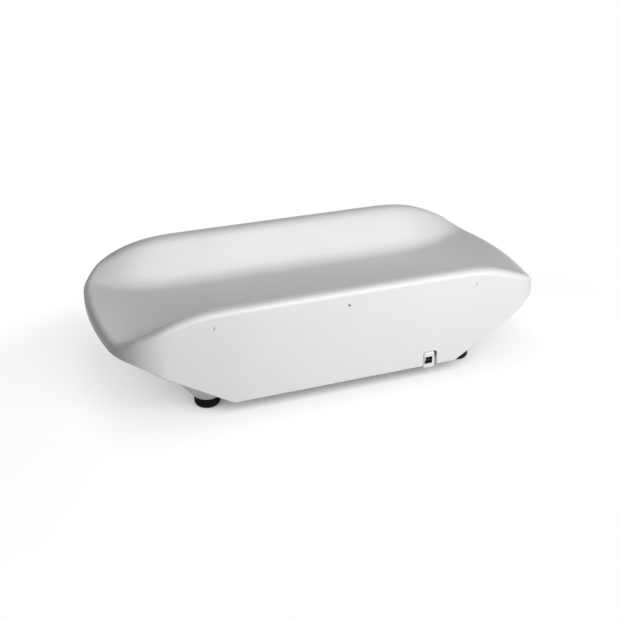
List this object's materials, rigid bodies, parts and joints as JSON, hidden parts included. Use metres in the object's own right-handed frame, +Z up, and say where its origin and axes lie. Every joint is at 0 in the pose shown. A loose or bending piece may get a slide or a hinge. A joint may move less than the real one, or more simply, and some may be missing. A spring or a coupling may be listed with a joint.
{
  "type": "digital baby weighing scale",
  "caption": "Cradle-shaped scale tray with raised sides on a load cell over a base with rubber feet, a slanted key console and a rear power inlet.",
  "frame": {"origin": "on the ground under the middle of the scale", "axes": "+X along the cradle, -Y the front with the console, +Y the rear with the power inlet, +Z up"},
  "size_m": [0.6, 0.284, 0.1423],
  "materials": {
    "white_plastic": "smooth moulded plastic with a soft satin sheen",
    "grey_plastic": "fine matt moulded plastic",
    "black_rubber": "matt",
    "black_plastic": "satin moulded plastic",
    "key_plastic": "satin moulded plastic",
    "alloy": "machined",
    "zinc_steel": "zinc plated",
    "lens": null,
    "display": "grey-green display glass",
    "board": "solder mask",
    "cell_jacket": "printed jacket without words",
    "nickel": "nickel plated spring steel"
  },
  "bodies": {
    "base": {"load_cell": "alloy", "base_spacer": "alloy", "base_bolts": "zinc_steel", "base_tray": "grey_plastic", "rubber_feet": "black_rubber", "overload_stops": "zinc_steel", "battery_box": "black_plastic", "batteries": "cell_jacket", "battery_contacts": "nickel", "battery_springs": "nickel", "power_socket": "black_plastic", "socket_pin": "nickel", "socket_board": "board", "console_housing": "white_plastic", "display_lens": "lens", "lcd_panel": "display", "display_holder": "black_plastic", "main_board": "board", "board_screws": "zinc_steel", "key_switches": "black_plastic", "console_screws": "zinc_steel"},
    "platform": {"tray_shell": "white_plastic", "rod_inserts": "nickel", "tray_screws": "zinc_steel", "platform_frame": "zinc_steel", "frame_spacer": "alloy", "frame_bolts": "zinc_steel"},
    "power_key": {"power_button": "key_plastic"},
    "zero_key": {"zero_button": "key_plastic"},
    "hold_key": {"hold_button": "key_plastic"},
    "unit_key": {"unit_button": "key_plastic"},
    "bay_door": {"battery_cover": "grey_plastic"}
  },
  "joints": [
    {"name": "platform_press", "type": "slide", "parent": "base", "child": "platform", "axis": [0, 0, 1], "range_m": [-0.0006, 0], "stiffness_N_per_m": 390000, "deforming": ["load_cell"]},
    {"name": "power_press", "type": "slide", "parent": "base", "child": "power_key", "axis": [0, 0.9906, -0.1366], "range_m": [0, 0.001], "stiffness_N_per_m": 1500},
    {"name": "zero_press", "type": "slide", "parent": "base", "child": "zero_key", "axis": [0, 0.9906, -0.1366], "range_m": [0, 0.001], "stiffness_N_per_m": 1500},
    {"name": "hold_press", "type": "slide", "parent": "base", "child": "hold_key", "axis": [0, 0.9906, -0.1366], "range_m": [0, 0.001], "stiffness_N_per_m": 1500},
    {"name": "unit_press", "type": "slide", "parent": "base", "child": "unit_key", "axis": [0, 0.9906, -0.1366], "range_m": [0, 0.001], "stiffness_N_per_m": 1500},
    {"name": "bay_door_slide", "type": "slide", "parent": "base", "child": "bay_door", "axis": [-1, 0, 0], "range_m": [0, 0.062]}
  ]
}
